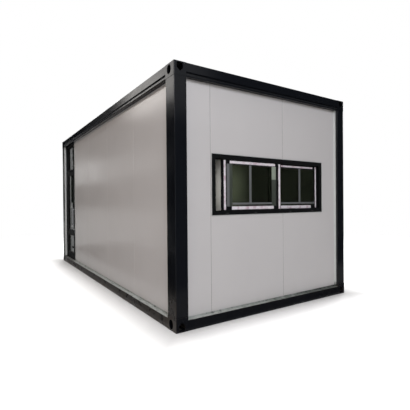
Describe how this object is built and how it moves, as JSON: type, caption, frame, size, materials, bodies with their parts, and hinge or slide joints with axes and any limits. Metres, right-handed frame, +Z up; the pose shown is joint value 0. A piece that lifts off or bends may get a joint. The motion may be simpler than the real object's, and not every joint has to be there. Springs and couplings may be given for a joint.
{
  "type": "container house",
  "caption": "Flat roofed steel framed cabin with recessed sandwich wall panels, a sliding window in one end and a hinged glazed door in one side.",
  "frame": {"origin": "centre of the footprint, on the ground", "axes": "+X along the house towards the window end, -Y out of the front with the door, +Z up"},
  "size_m": [5.8, 2.9, 2.896],
  "materials": {
    "frame_paint": "glossy black paint on folded steel",
    "panel_coat": "satin pale grey coil coat",
    "trim_coat": "satin pale grey coat, dusty",
    "black_aluminium": "black powder coat",
    "tinted_glass": "clear tinted float glass",
    "roof_zinc": "grey coated sheet",
    "joist_zinc": "hot dip zinc",
    "floor_ply": "sealed plywood",
    "ceiling_coat": "satin white coat",
    "threshold_aluminium": "mill finish, dusty",
    "hinge_paint": "black enamel",
    "pull_steel": "brushed"
  },
  "bodies": {
    "house": {"back_wall_panels": "panel_coat", "base_flashing": "trim_coat", "ceiling_panel": "ceiling_coat", "corner_post_back_plain": "frame_paint", "corner_post_back_window": "frame_paint", "corner_post_front_plain": "frame_paint", "corner_post_front_window": "frame_paint", "door_frame": "black_aluminium", "door_hinge_jamb_halves": "hinge_paint", "door_threshold": "threshold_aluminium", "floor_beam_back": "frame_paint", "floor_beam_front": "frame_paint", "floor_beam_plain_end": "frame_paint", "floor_beam_window_end": "frame_paint", "floor_board": "floor_ply", "floor_corner_fittings": "frame_paint", "floor_joists": "joist_zinc", "front_wall_panel_1": "panel_coat", "front_wall_panel_2": "panel_coat", "front_wall_panel_3": "panel_coat", "front_wall_panel_4": "panel_coat", "plain_end_panels": "panel_coat", "roof_beam_back": "frame_paint", "roof_beam_front": "frame_paint", "roof_beam_plain_end": "frame_paint", "roof_beam_window_end": "frame_paint", "roof_corner_fittings": "frame_paint", "roof_sheet": "roof_zinc", "transom_glass": "tinted_glass", "wall_edge_trims": "trim_coat", "window_end_panel_1": "panel_coat", "window_end_panel_2": "panel_coat", "window_end_panel_3": "panel_coat", "window_frame": "black_aluminium", "window_glass_left": "tinted_glass", "window_glass_right": "tinted_glass", "window_sash_left": "black_aluminium", "window_sash_right": "black_aluminium"},
    "door": {"door_leaf": "black_aluminium", "door_glass": "tinted_glass", "door_pulls": "pull_steel", "door_hinge_leaf_halves": "hinge_paint"}
  },
  "joints": [
    {"name": "door_hinge", "type": "hinge", "parent": "house", "child": "door", "pos_m": [-2.652, -1.402, 1.1], "axis": [0, 0, -1], "range_deg": [0, 100]}
  ]
}
